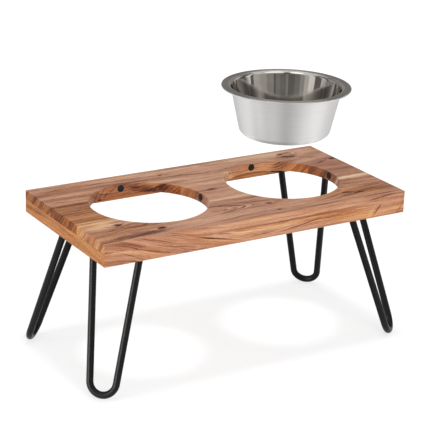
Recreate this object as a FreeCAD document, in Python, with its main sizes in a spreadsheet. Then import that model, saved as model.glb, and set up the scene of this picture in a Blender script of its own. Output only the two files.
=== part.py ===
import FreeCAD, Part
import math
import os

import Sketcher

# Raised feeder for a dog: a wooden tray on four hairpin legs with two round
# cut-outs, and a spun steel bowl that lifts out of the right one.
# Frame: origin on the floor under the middle of the tray, +X along the tray,
# -Y towards the front, +Z up. Lengths are in millimetres, angles in degrees.

doc = FreeCAD.newDocument("elevated_dog_bowl")
sheet = doc.addObject("Spreadsheet::Sheet", "Sizes")

DRIVING_SIZES = {
    # tray: the wood left round and between the cut-outs sets its length and depth
    "cutout_radius": 76,
    "bridge_width": 49,
    "end_width": 44,
    "side_width": 34,
    "panel_thickness": 12.5,
    "front_stave_width": 72.5,
    "back_stave_width": 74,
    "apron_height": 17,
    "apron_width": 10,
    "stand_height": 204,
    "corner_radius": 1.2,
    "edge_round": 0.8,
    "cutout_rim_round": 0.8,
    # bumpers
    "bumper_radius": 4.75,
    "bumper_proud": 1.8,
    "bumper_skirt": 0.6,
    "bumper_depth": 5.5,
    "stem_radius": 2.5,
    "stem_length": 8,
    "stem_gap": 0.1,
    "stem_hole_spare": 1,
    "bumper_seat_gap": 0.05,
    # legs
    "rod_radius": 4.5,
    "bend_radius": 17,
    "rod_spacing": 62.4,
    "leg_splay": 63.3,
    "leg_turn_angle": 45,
    "rod_overrun": 12,
    # mounting pads and their screws
    "pad_end_gap": 0.6,
    "pad_side_gap": 7.4,
    "pad_outset": 5.5,
    "pad_thickness": 3,
    "pad_setback": 2.5,
    "pad_edge_round": 0.6,
    "screw_radius": 1.5,
    "screw_offset": 8.4,
    "screw_edge_distance": 4.1,
    "screw_turn_angle": 60,
    "screw_hole_gap": 0.3,
    "screw_tip_gap": 1,
    "pilot_gap": 0.1,
    "pilot_roof": 2.5,
    "screw_head_radius": 2.9,
    "screw_head_height": 1.9,
    "screw_head_round": 1.1,
    # bowl
    "rim_overlap": 8.5,
    "bowl_bumper_gap": 1.4,
    "bowl_taper": 14.6,
    "bowl_height": 66,
    "bowl_sheet": 0.8,
    "bowl_shoulder_radius": 4.5,
    "bowl_corner_radius": 11,
    "bead_radius": 1.4,
    "bowl_lift_height": 126,
    "bowl_seat_gap": 0.3,
    # cuts run past what they cut by this much
    "overrun": 5,
    # an edge counts as lying on a plane or face within this
    "match_gap": 0.01,
}


class Size:
    """A size with its value now and the expression over the sheet that gives it."""

    def __init__(self, value, text):
        self.value = value
        self.text = text

    def __add__(self, other):
        other = as_size(other)
        return Size(self.value + other.value, f"({self.text} + {other.text})")

    def __sub__(self, other):
        other = as_size(other)
        return Size(self.value - other.value, f"({self.text} - {other.text})")

    def __mul__(self, other):
        other = as_size(other)
        return Size(self.value * other.value, f"({self.text} * {other.text})")

    def __truediv__(self, other):
        other = as_size(other)
        return Size(self.value / other.value, f"({self.text} / {other.text})")

    def __rsub__(self, other):
        return as_size(other) - self

    def __rmul__(self, other):
        return as_size(other) * self

    def __neg__(self):
        return Size(-self.value, f"(0 - {self.text})")


def as_size(thing):
    return thing if isinstance(thing, Size) else Size(float(thing), repr(thing))


def root(thing):
    return Size(math.sqrt(thing.value), f"sqrt({thing.text})")


def sine(angle):
    return Size(math.sin(math.radians(angle.value)), f"sin({angle.text})")


def cosine(angle):
    return Size(math.cos(math.radians(angle.value)), f"cos({angle.text})")


def tangent(angle):
    return Size(math.tan(math.radians(angle.value)), f"tan({angle.text})")


def arc_sine(share):
    return Size(math.degrees(math.asin(share.value)), f"(asin({share.text}) / 1 deg)")


def arc_tangent(share):
    return Size(math.degrees(math.atan(share.value)), f"(atan({share.text}) / 1 deg)")


def fill_sheet():
    """Write each driving size into its own cell and hand it back as a Size."""
    sizes = {}
    for row, (name, value) in enumerate(DRIVING_SIZES.items(), start=1):
        sheet.set(f"A{row}", name)
        sheet.set(f"B{row}", str(value))
        sheet.setAlias(f"B{row}", name)
        sizes[name] = Size(float(value), f"Sizes.{name}")
    doc.recompute()
    return sizes


S = fill_sheet()
ZERO = Size(0.0, "0")
RIGHT_ANGLE = 90
HALF_TURN_ANGLE = 180
FULL_TURN_ANGLE = 360
MITRE_ANGLE = 45

# How a sketch numbers the points of a line, an arc or a circle
START_INDEX, END_INDEX, CENTRE_INDEX = 1, 2, 3

# Levels of the tray
panel_top = S["stand_height"]
panel_bottom = panel_top - S["panel_thickness"]
apron_bottom = panel_bottom - S["apron_height"]
half_length = S["bridge_width"] / 2 + 2 * S["cutout_radius"] + S["end_width"]
half_depth = S["cutout_radius"] + S["side_width"]
front_seam = S["front_stave_width"] - half_depth
back_seam = half_depth - S["back_stave_width"]

# Cut-outs and bumpers
cutout_x = (S["bridge_width"] + 2 * S["cutout_radius"]) / 2
bumper_level = panel_top - S["bumper_depth"]
stem_hole_radius = S["stem_radius"] + S["stem_gap"]

# Screws and mounting pads: a pad is as wide as its two screws need
screw_out = S["screw_offset"] * sine(S["screw_turn_angle"])
screw_across = S["screw_offset"] * cosine(S["screw_turn_angle"])
pad_radius = S["screw_offset"] + S["screw_edge_distance"]
pad_bottom = panel_bottom - S["pad_thickness"]
pilot_depth = S["panel_thickness"] - S["pilot_roof"]
screw_length = S["pad_thickness"] + pilot_depth - S["screw_tip_gap"]

# Legs: the outer pads lie inside the aprons and each leg leans out from there,
# with leg_out the plan direction of its lean and leg_across the one between its rods
leg_out = cosine(S["leg_turn_angle"]), sine(S["leg_turn_angle"])
leg_across = leg_out[1], leg_out[0]
half_rods = S["rod_spacing"] / 2
half_pads = half_rods + S["pad_outset"]
rod_drop = pad_bottom - S["rod_radius"]
leg_lean = arc_tangent(S["leg_splay"] / rod_drop)
pad_limit_x = half_length - S["apron_width"] - S["pad_end_gap"] - pad_radius
pad_limit_y = half_depth - S["apron_width"] - S["pad_side_gap"] - pad_radius
leg_top_x = pad_limit_x + S["pad_setback"] * leg_out[0] - half_pads * leg_across[0]
leg_top_y = pad_limit_y + S["pad_setback"] * leg_out[1] - half_pads * leg_across[1]

CORNERS = {
    "front_left": (-1, -1),
    "front_right": (1, -1),
    "back_left": (-1, 1),
    "back_right": (1, 1),
}

# Where the bumpers of a cut-out lie, one every quarter turn from +X
BUMPER_SIDES = ("right", "back", "left", "front")

parts = []


def new_body(name):
    body = doc.addObject("PartDesign::Body", name)
    body.Label = name
    parts.append(body)
    return body


def origin_plane(body, role):
    """One of the body's own planes: XY_Plane, XZ_Plane or YZ_Plane."""
    return next(item for item in body.Origin.OriginFeatures if item.Role == role)


def new_sketch(body, role, name, offset=ZERO):
    """A sketch on a plane of the body, moved along the plane's normal by offset."""
    sketch = body.newObject("Sketcher::SketchObject", name)
    sketch.AttachmentSupport = [(origin_plane(body, role), "")]
    sketch.MapMode = "FlatFace"
    sketch.setExpression("AttachmentOffset.Base.z", offset.text)
    return sketch


def fix_point(sketch, geometry, corner, x, y):
    """Tie one point of the sketch to its place from the sketch's origin."""
    for kind, size in (("DistanceX", x), ("DistanceY", y)):
        rule = Sketcher.Constraint(kind, -1, START_INDEX, geometry, corner, size.value)
        number = sketch.addConstraint(rule)
        sketch.setExpression(f"Constraints[{number}]", size.text)


def fix_radius(sketch, geometry, radius):
    number = sketch.addConstraint(Sketcher.Constraint("Radius", geometry, radius.value))
    sketch.setExpression(f"Constraints[{number}]", radius.text)


def flat_vector(x, y):
    return FreeCAD.Vector(x.value, y.value, 0)


def arc_between(start, end, centre, radius):
    """The shorter arc between two points about centre, drawn anticlockwise."""
    first = math.atan2(start.y - centre.y, start.x - centre.x)
    last = math.atan2(end.y - centre.y, end.x - centre.x)
    if (last - first) % math.tau > math.pi:
        first, last = last, first
    circle = Part.Circle(centre, FreeCAD.Vector(0, 0, 1), radius.value)
    return Part.ArcOfCircle(circle, first, first + (last - first) % math.tau)


def draw_path(sketch, points, arcs, closed):
    """Draw lines and arcs through points, each a pair of sizes.

    arcs maps the number of a stretch to its (centre x, centre y, radius).
    """
    count = len(points) if closed else len(points) - 1
    ends = [flat_vector(x, y) for x, y in points]
    for number in range(count):
        start, end = ends[number], ends[(number + 1) % len(ends)]
        if number in arcs:
            centre_x, centre_y, radius = arcs[number]
            piece = arc_between(start, end, flat_vector(centre_x, centre_y), radius)
        else:
            piece = Part.LineSegment(start, end)
        sketch.addGeometry(piece, False)
    last = count if closed else count - 1
    tails, heads = [], []
    for number in range(count):
        turned = number in arcs and not starts_here(sketch.Geometry[number], ends[number])
        tails.append(END_INDEX if turned else START_INDEX)
        heads.append(START_INDEX if turned else END_INDEX)
    for number in range(last):
        after = (number + 1) % count
        rule = Sketcher.Constraint("Coincident", number, heads[number], after, tails[after])
        sketch.addConstraint(rule)
    for number in range(count):
        fix_point(sketch, number, tails[number], *points[number])
        if number in arcs:
            fix_radius(sketch, number, arcs[number][2])
    if not closed:
        fix_point(sketch, count - 1, heads[-1], *points[-1])


def starts_here(curve, point):
    return curve.StartPoint.distanceToPoint(point) < curve.EndPoint.distanceToPoint(point)


def draw_circles(sketch, circles):
    """Draw circles, each (centre x, centre y, radius)."""
    for x, y, radius in circles:
        up = FreeCAD.Vector(0, 0, 1)
        number = sketch.addGeometry(Part.Circle(flat_vector(x, y), up, radius.value), False)
        fix_point(sketch, number, CENTRE_INDEX, x, y)
        fix_radius(sketch, number, radius)


def pad(body, sketch, name, length):
    feature = body.newObject("PartDesign::Pad", name)
    feature.Profile = sketch
    feature.setExpression("Length", length.text)
    body.Tip = feature
    doc.recompute()
    return feature


def pocket(body, sketch, name, length, reverse=False, both_ways=False):
    """Cut a sketch into the body and check that it took something away."""
    before = body.Shape.Volume
    feature = body.newObject("PartDesign::Pocket", name)
    feature.Profile = sketch
    feature.Reversed = reverse
    if both_ways:
        feature.SideType = "Symmetric"
    feature.setExpression("Length", length.text)
    body.Tip = feature
    doc.recompute()
    if not body.Shape.Volume < before:
        raise ValueError(f"{body.Label}: {name} cuts nothing")
    return feature


def round_edges(body, name, radius, wanted):
    """Fillet the edges of the tip for which wanted(edge) is true."""
    tip = body.Tip
    names = [f"Edge{n}" for n, edge in enumerate(tip.Shape.Edges, start=1) if wanted(edge)]
    feature = body.newObject("PartDesign::Fillet", name)
    feature.Base = (tip, names)
    feature.setExpression("Radius", radius.text)
    body.Tip = feature
    doc.recompute()


def revolve(body, sketch, name):
    feature = body.newObject("PartDesign::Revolution", name)
    feature.Profile = sketch
    feature.ReferenceAxis = (sketch, ["V_Axis"])
    feature.Angle = FULL_TURN_ANGLE
    body.Tip = feature
    doc.recompute()


def place(item, x, y, z, yaw=ZERO, pitch=ZERO):
    """Tie an object's Placement to sizes: a move, a turn about Z and a tilt about Y."""
    turn = f"rotation({yaw.text}; {pitch.text}; 0)"
    item.setExpression("Placement", f"placement(vector({x.text}; {y.text}; {z.text}); {turn})")


def near(value, size):
    return abs(value - size.value) < S["match_gap"].value


# Tray

def bore_mark(x, y):
    return (x, y, S["cutout_radius"])


def stem_hole_length():
    """From a cut-out's axis to the bottom of a bumper's hole in its wall."""
    return S["cutout_radius"] + S["stem_length"] + S["stem_hole_spare"]


def leg_spot(side_x, side_y, out, across):
    """A plan place by its distance from the leg's top, outwards and across the leg."""
    x = leg_top_x * side_x + out * leg_out[0] * side_x + across * leg_across[0] * side_y
    y = leg_top_y * side_y + out * leg_out[1] * side_y - across * leg_across[1] * side_x
    return x, y


def pad_centre(side_x, side_y, side):
    """Centre of one pad in plan; side is 1 or -1 across the leg."""
    return leg_spot(side_x, side_y, -S["pad_setback"], half_pads * side)


def screw_places(side_x, side_y):
    """Plan positions of the four screws of one leg, on the sides of the pads away from the rods."""
    return [
        leg_spot(
            side_x,
            side_y,
            screw_out * way - S["pad_setback"],
            (half_pads + screw_across) * side,
        )
        for side in (-1, 1)
        for way in (-1, 1)
    ]


def make_stave(name, x_from, x_to, y_from, y_to):
    """One stave of the panel as a plain board."""
    body = new_body(name)
    outline = new_sketch(body, "XY_Plane", name + "_outline", panel_bottom)
    points = [(x_from, y_from), (x_to, y_from), (x_to, y_to), (x_from, y_to)]
    draw_path(outline, points, {}, True)
    pad(body, outline, name + "_board", S["panel_thickness"])
    return body


def cut_bores(body, sides):
    bores = new_sketch(body, "XY_Plane", body.Label + "_cutouts", panel_bottom - S["overrun"])
    draw_circles(bores, [bore_mark(cutout_x * side, ZERO) for side in sides])
    depth = S["panel_thickness"] + 2 * S["overrun"]
    pocket(body, bores, body.Label + "_bores", depth, reverse=True)


def cut_pilot_holes(body, corners):
    """Blind holes from below for the leg screws that land in this stave."""
    box = body.Shape.BoundBox
    radius = S["screw_radius"] + S["pilot_gap"]

    def lands_here(x, y):
        miss_x = max(box.XMin - x.value, x.value - box.XMax, 0)
        miss_y = max(box.YMin - y.value, y.value - box.YMax, 0)
        return math.hypot(miss_x, miss_y) < radius.value - S["match_gap"].value

    spots = [spot for corner in corners for spot in screw_places(*corner)]
    holes = [(x, y, radius) for x, y in spots if lands_here(x, y)]
    if holes:
        sketch = new_sketch(body, "XY_Plane", body.Label + "_pilots", panel_bottom)
        draw_circles(sketch, holes)
        pocket(body, sketch, body.Label + "_pilot_holes", pilot_depth, reverse=True)


def cut_stem_holes_along_y(body, reverse):
    """Holes for the bumpers at the front or back of both cut-outs."""
    sketch = new_sketch(body, "XZ_Plane", body.Label + "_stem_marks")
    marks = [(cutout_x * side, bumper_level, stem_hole_radius) for side in (-1, 1)]
    draw_circles(sketch, marks)
    pocket(body, sketch, body.Label + "_stem_holes", stem_hole_length(), reverse=reverse)


def cut_stem_hole_along_x(body, side, name, reverse):
    """Hole for the bumper that a middle piece carries on one side."""
    sketch = new_sketch(body, "YZ_Plane", name + "_mark", cutout_x * side)
    draw_circles(sketch, [(ZERO, bumper_level, stem_hole_radius)])
    pocket(body, sketch, name, stem_hole_length(), reverse=reverse)


def soften_cutout_rims(body):
    """Round the upper edge of each cut-out."""
    def upper_rim(edge):
        box = edge.BoundBox
        level = near(box.ZMin, panel_top) and near(box.ZMax, panel_top)
        round_one = isinstance(edge.Curve, Part.Circle)
        return level and round_one and near(edge.Curve.Radius, S["cutout_radius"])

    round_edges(body, body.Label + "_cutout_rims", S["cutout_rim_round"], upper_rim)


def soften_tray_edges(body):
    """Round the outer upright corners, then the outer edge of the top face."""
    def upright_corner(edge):
        box = edge.BoundBox
        on_end = near(abs(box.XMin), half_length) and near(abs(box.XMax), half_length)
        on_side = near(abs(box.YMin), half_depth) and near(abs(box.YMax), half_depth)
        return on_end and on_side and box.ZLength > S["edge_round"].value

    def top_outline(edge):
        box = edge.BoundBox
        if not (near(box.ZMin, panel_top) and near(box.ZMax, panel_top)):
            return False
        inner_x = half_length.value - S["corner_radius"].value - S["edge_round"].value
        inner_y = half_depth.value - S["corner_radius"].value - S["edge_round"].value
        at_end = min(abs(box.XMin), abs(box.XMax)) > inner_x and box.XMin * box.XMax > 0
        at_side = min(abs(box.YMin), abs(box.YMax)) > inner_y and box.YMin * box.YMax > 0
        return at_end or at_side

    if any(upright_corner(edge) for edge in body.Tip.Shape.Edges):
        round_edges(body, body.Label + "_corners", S["corner_radius"], upright_corner)
    round_edges(body, body.Label + "_top_edge", S["edge_round"], top_outline)


def make_panel():
    front = make_stave("front_stave", -half_length, half_length, -half_depth, front_seam)
    back = make_stave("back_stave", -half_length, half_length, back_seam, half_depth)
    for body, way, reverse in ((front, -1, True), (back, 1, False)):
        cut_bores(body, (-1, 1))
        cut_pilot_holes(body, [(-1, way), (1, way)])
        cut_stem_holes_along_y(body, reverse)
        soften_cutout_rims(body)
        soften_tray_edges(body)

    bridge = make_stave("middle_stave_bridge", -cutout_x, cutout_x, front_seam, back_seam)
    cut_bores(bridge, (-1, 1))
    cut_stem_hole_along_x(bridge, -1, "bridge_left_stem_hole", True)
    cut_stem_hole_along_x(bridge, 1, "bridge_right_stem_hole", False)
    soften_cutout_rims(bridge)

    for side, word in ((-1, "left"), (1, "right")):
        name = f"middle_stave_{word}_end"
        low, high = (-half_length, -cutout_x) if side < 0 else (cutout_x, half_length)
        body = make_stave(name, low, high, front_seam, back_seam)
        cut_bores(body, (side,))
        cut_pilot_holes(body, [(side, -1), (side, 1)])
        cut_stem_hole_along_x(body, side, name + "_stem_hole", side > 0)
        soften_cutout_rims(body)
        soften_tray_edges(body)


def make_apron(name, half, across, turn):
    """A strip with mitred ends, drawn at the front and turned about Z to its side.

    half is half of the strip's outer length, across the distance of its outer face
    from the middle of the tray and turn the number of quarter turns.
    """
    body = new_body(name)
    sketch = new_sketch(body, "XY_Plane", name + "_outline", apron_bottom)
    face = -across
    width = S["apron_width"]
    radius = S["corner_radius"]
    meet = radius * (1 - cosine(as_size(MITRE_ANGLE)))
    points = [
        (-half + radius, face),
        (half - radius, face),
        (half - meet, face + meet),
        (half - width, face + width),
        (-half + width, face + width),
        (-half + meet, face + meet),
    ]
    arcs = {
        1: (half - radius, face + radius, radius),
        5: (-half + radius, face + radius, radius),
    }
    draw_path(sketch, points, arcs, True)
    pad(body, sketch, name + "_strip", S["apron_height"])

    def lower_outline(edge):
        box = edge.BoundBox
        low = near(box.ZMin, apron_bottom) and near(box.ZMax, apron_bottom)
        return low and box.YMax < (face + meet + S["match_gap"]).value

    round_edges(body, name + "_lower_edge", S["edge_round"], lower_outline)
    place(body, ZERO, ZERO, ZERO, yaw=ZERO + RIGHT_ANGLE * turn)


def make_aprons():
    """The strips lie a quarter turn apart, and each is as long as its side of the tray."""
    sides = ("front", "right", "back", "left")
    for turn, side in enumerate(sides):
        along, across = (half_length, half_depth) if turn % 2 == 0 else (half_depth, half_length)
        make_apron(side + "_apron", along, across, turn)


# Bumpers

def make_bumper(name, side_x, quarter):
    """A push-in plug on the local Z axis: stem, flat back and domed head."""
    body = new_body(name)
    sketch = new_sketch(body, "XZ_Plane", name + "_half_section")
    head = S["bumper_radius"]
    stem = S["stem_radius"]
    skirt = S["bumper_skirt"]
    rise = S["bumper_proud"] - skirt
    dome = (head * head + rise * rise) / (2 * rise)
    points = [
        (ZERO, -S["stem_length"]),
        (stem, -S["stem_length"]),
        (stem, ZERO),
        (head, ZERO),
        (head, skirt),
        (ZERO, S["bumper_proud"]),
    ]
    draw_path(sketch, points, {4: (ZERO, S["bumper_proud"] - dome, dome)}, True)
    revolve(body, sketch, name + "_plug")
    # The flat back of the head touches the round wall along two lines
    wall = S["cutout_radius"]
    seat = root(wall * wall - head * head) - S["bumper_seat_gap"]
    reach_x = (1, 0, -1, 0)[quarter]
    reach_y = (0, 1, 0, -1)[quarter]
    x = cutout_x * side_x + seat * reach_x
    y = seat * reach_y
    # The local Z axis points back to the cut-out's centre
    place(body, x, y, bumper_level, ZERO + RIGHT_ANGLE * quarter, ZERO - RIGHT_ANGLE)


def make_bumpers():
    for side_x, word in ((-1, "left"), (1, "right")):
        for quarter, where in enumerate(BUMPER_SIDES):
            make_bumper(f"{word}_cutout_{where}_bumper", side_x, quarter)


# Legs

def corner_turn(side_x, side_y):
    """Turn about Z that carries +X to the corner's outward diagonal."""
    turn = S["leg_turn_angle"] * side_y
    return turn if side_x > 0 else HALF_TURN_ANGLE * side_y - turn


def make_hairpin(name, side_x, side_y):
    """One bent bar, drawn upright in its own YZ plane from the foot, then leaned."""
    body = new_body(name)
    bend = S["bend_radius"]
    top = rod_drop / cosine(leg_lean)
    above = top - bend
    run = root(half_rods * half_rods + above * above)
    taper = arc_tangent(half_rods / above) - arc_sine(bend / run)
    meet_y = bend * cosine(taper)
    meet_z = bend - bend * sine(taper)
    spare = S["rod_overrun"]

    ring = new_sketch(body, "XZ_Plane", name + "_bar_section")
    draw_circles(ring, [(ZERO, ZERO, S["rod_radius"])])
    path = new_sketch(body, "YZ_Plane", name + "_half_path")
    points = [
        (ZERO, ZERO),
        (meet_y, meet_z),
        (half_rods + spare * sine(taper), top + spare * cosine(taper)),
    ]
    draw_path(path, points, {0: (ZERO, bend, bend)}, False)
    sweep = body.newObject("PartDesign::AdditivePipe", name + "_half_bar")
    sweep.Profile = ring
    sweep.Spine = (path, ["Edge1", "Edge2"])
    body.Tip = sweep
    doc.recompute()
    mirror = body.newObject("PartDesign::Mirrored", name + "_other_half")
    mirror.Originals = [sweep]
    mirror.MirrorPlane = (origin_plane(body, "XZ_Plane"), [""])
    body.Tip = mirror
    doc.recompute()

    # The rods end in the level plane of the pads' lower faces
    level = new_sketch(body, "XZ_Plane", name + "_level_cut")
    reach = S["rod_overrun"] + S["bend_radius"]
    slope = tangent(leg_lean)
    points = [
        (-reach, top + reach * slope),
        (reach, top - reach * slope),
        (reach, top + reach * slope + reach),
        (-reach, top + reach * slope + reach),
    ]
    draw_path(level, points, {}, True)
    across = 2 * (half_rods + S["rod_overrun"] + S["rod_radius"])
    pocket(body, level, name + "_level_ends", across, both_ways=True)

    foot_x, foot_y = leg_spot(side_x, side_y, S["leg_splay"], ZERO)
    place(body, foot_x, foot_y, S["rod_radius"], corner_turn(side_x, side_y), -leg_lean)


def make_pads(name, side_x, side_y):
    """The two round pads that carry one leg's rods."""
    body = new_body(name)
    sketch = new_sketch(body, "XY_Plane", name + "_outline", pad_bottom)
    discs = [(*pad_centre(side_x, side_y, side), pad_radius) for side in (-1, 1)]
    hole_radius = S["screw_radius"] + S["screw_hole_gap"]
    holes = [(x, y, hole_radius) for x, y in screw_places(side_x, side_y)]
    draw_circles(sketch, discs + holes)
    pad(body, sketch, name + "_discs", S["pad_thickness"])

    def lower_rim(edge):
        box = edge.BoundBox
        low = near(box.ZMin, pad_bottom) and near(box.ZMax, pad_bottom)
        return low and box.XLength > pad_radius.value

    round_edges(body, name + "_rim", S["pad_edge_round"], lower_rim)


def make_screws(name, side_x, side_y):
    """Four pan-head screws driven up through the pads into the panel."""
    body = new_body(name)
    places = screw_places(side_x, side_y)
    shanks = new_sketch(body, "XY_Plane", name + "_shank_marks", pad_bottom)
    draw_circles(shanks, [(x, y, S["screw_radius"]) for x, y in places])
    pad(body, shanks, name + "_shanks", screw_length)
    head_face = pad_bottom - S["screw_head_height"]
    heads = new_sketch(body, "XY_Plane", name + "_head_marks", head_face)
    draw_circles(heads, [(x, y, S["screw_head_radius"]) for x, y in places])
    pad(body, heads, name + "_heads", S["screw_head_height"])

    def head_rim(edge):
        box = edge.BoundBox
        return near(box.ZMin, head_face) and near(box.ZMax, head_face)

    round_edges(body, name + "_head_rims", S["screw_head_round"], head_rim)


def make_legs():
    for corner, (side_x, side_y) in CORNERS.items():
        make_hairpin(corner + "_hairpin_leg", side_x, side_y)
        make_pads(corner + "_leg_pads", side_x, side_y)
        make_screws(corner + "_leg_screws", side_x, side_y)


# Bowl

def make_bowl():
    """The half section of the spun sheet from the middle of the base to the bead."""
    body = new_body("bowl")
    sketch = new_sketch(body, "XZ_Plane", "bowl_half_section")
    sheet_wall = S["bowl_sheet"]
    mouth = S["cutout_radius"] - S["bumper_proud"] - S["bowl_bumper_gap"]
    base = mouth - S["bowl_taper"]
    floor = -S["bowl_height"]
    draft = arc_tangent((mouth - base) / (S["bowl_height"] - sheet_wall))
    turn = RIGHT_ANGLE - draft
    half_turn = tangent(turn / 2)
    lean, rise = sine(draft), cosine(draft)

    corner = S["bowl_corner_radius"]
    reach = corner * half_turn
    outer_base = (base - reach, floor)
    outer_foot = (base + reach * lean, floor + reach * rise)
    corner_x, corner_z = base - reach, floor + corner

    shoulder = S["bowl_shoulder_radius"]
    grip = shoulder * half_turn
    outer_neck = (mouth - grip * lean, -sheet_wall - grip * rise)
    outer_ledge = (mouth + grip, -sheet_wall)
    shoulder_x, shoulder_z = mouth + grip, -sheet_wall - shoulder

    inner_corner = corner - sheet_wall
    inner_shoulder = shoulder + sheet_wall
    bead = S["bead_radius"]
    bead_inner = bead - sheet_wall
    bead_x = S["cutout_radius"] + S["rim_overlap"] - bead
    bead_z = -bead

    points = [
        (ZERO, floor),
        outer_base,
        outer_foot,
        outer_neck,
        outer_ledge,
        (bead_x, -sheet_wall),
        (bead_x + bead_inner, bead_z),
        (bead_x, bead_z - bead_inner),
        (bead_x - bead_inner, bead_z),
        (bead_x - bead, bead_z),
        (bead_x, bead_z - bead),
        (bead_x + bead, bead_z),
        (bead_x, ZERO),
        (shoulder_x, ZERO),
        (shoulder_x - inner_shoulder * rise, shoulder_z + inner_shoulder * lean),
        (corner_x + inner_corner * rise, corner_z - inner_corner * lean),
        (corner_x, floor + sheet_wall),
        (ZERO, floor + sheet_wall),
    ]
    arcs = {
        1: (corner_x, corner_z, corner),
        3: (shoulder_x, shoulder_z, shoulder),
        5: (bead_x, bead_z, bead_inner),
        6: (bead_x, bead_z, bead_inner),
        7: (bead_x, bead_z, bead_inner),
        9: (bead_x, bead_z, bead),
        10: (bead_x, bead_z, bead),
        11: (bead_x, bead_z, bead),
        13: (shoulder_x, shoulder_z, inner_shoulder),
        15: (corner_x, corner_z, inner_corner),
    }
    draw_path(sketch, points, arcs, True)
    revolve(body, sketch, "bowl_shell")
    seated_top = panel_top + S["bowl_seat_gap"] + 2 * bead
    place(body, cutout_x, ZERO, seated_top + S["bowl_lift_height"])


make_panel()
make_aprons()
make_bumpers()
make_legs()
make_bowl()
doc.recompute()

# Check and export

for item in doc.Objects:
    if "Invalid" in item.State or "Error" in item.State:
        raise ValueError(f"{item.Label} failed: {item.State}")

os.makedirs("parts", exist_ok=True)
for item in parts:
    shape = item.Shape
    if shape.isNull() or not shape.isValid():
        raise ValueError(f"{item.Label} has no valid shape")
    shape.exportStep(f"parts/{item.Label}.step")
    box = shape.BoundBox
    print(
        f"{item.Label}: {len(shape.Solids)} solid(s), {shape.Volume:.0f} mm3,"
        f" x {box.XMin:.1f}..{box.XMax:.1f}, y {box.YMin:.1f}..{box.YMax:.1f},"
        f" z {box.ZMin:.1f}..{box.ZMax:.1f}"
    )
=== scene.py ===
"""Looks of the raised feeder: acacia tray, hairpin legs, rubber bumpers and a spun steel bowl."""

import math

import bpy
from mathutils import Euler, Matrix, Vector


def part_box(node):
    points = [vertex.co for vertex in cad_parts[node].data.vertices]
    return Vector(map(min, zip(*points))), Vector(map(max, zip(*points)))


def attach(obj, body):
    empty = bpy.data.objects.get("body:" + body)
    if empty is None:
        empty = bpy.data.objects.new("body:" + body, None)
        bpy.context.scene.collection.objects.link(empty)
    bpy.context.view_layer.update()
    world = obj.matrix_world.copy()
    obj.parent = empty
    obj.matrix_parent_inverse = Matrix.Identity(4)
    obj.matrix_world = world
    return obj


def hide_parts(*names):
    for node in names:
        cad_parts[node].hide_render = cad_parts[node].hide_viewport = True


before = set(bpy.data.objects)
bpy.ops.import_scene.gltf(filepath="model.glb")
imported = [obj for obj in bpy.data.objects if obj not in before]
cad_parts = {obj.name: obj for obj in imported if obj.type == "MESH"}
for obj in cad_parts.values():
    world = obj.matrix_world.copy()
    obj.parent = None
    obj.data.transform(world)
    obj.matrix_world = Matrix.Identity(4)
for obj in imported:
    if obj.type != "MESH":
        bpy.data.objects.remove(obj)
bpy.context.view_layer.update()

MM = 0.001
PAD_RADIUS = 12.5 * MM
# The tray's faces and its two round bores, in millimetres like every place in a finish
TRAY_TOP = 204
TRAY_FRONT = -110
TRAY_BACK = 110
TRAY_LEFT = -220.5
TRAY_RIGHT = 220.5
BORE_MIDDLE = 100.5
BORE_RADIUS = 76
CORNERS = {
    "front_left": (-1, -1),
    "front_right": (1, -1),
    "back_left": (-1, 1),
    "back_right": (1, 1),
}


# Shader maths

class Value:
    """The output socket of a shader node, with Python's arithmetic on it."""

    def __init__(self, shading, socket):
        self.shading = shading
        self.socket = socket

    def maths(self, operation, *others):
        """The result of a Math node on this value and the others."""
        return self.shading.node("Math", {"operation": operation}, dict(enumerate((self, *others))))

    def __add__(self, other):
        return self.maths("ADD", other)

    def __radd__(self, other):
        return self.maths("ADD", other)

    def __sub__(self, other):
        return self.maths("SUBTRACT", other)

    def __rsub__(self, other):
        return self.shading.node("Math", {"operation": "SUBTRACT"}, {0: other, 1: self})

    def __mul__(self, other):
        return self.maths("MULTIPLY", other)

    def __rmul__(self, other):
        return self.maths("MULTIPLY", other)

    def __truediv__(self, other):
        return self.maths("DIVIDE", other)

    def __neg__(self):
        return self.maths("MULTIPLY", -1)

    def __abs__(self):
        return self.maths("ABSOLUTE")

    def __pow__(self, other):
        return self.maths("POWER", other)


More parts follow.
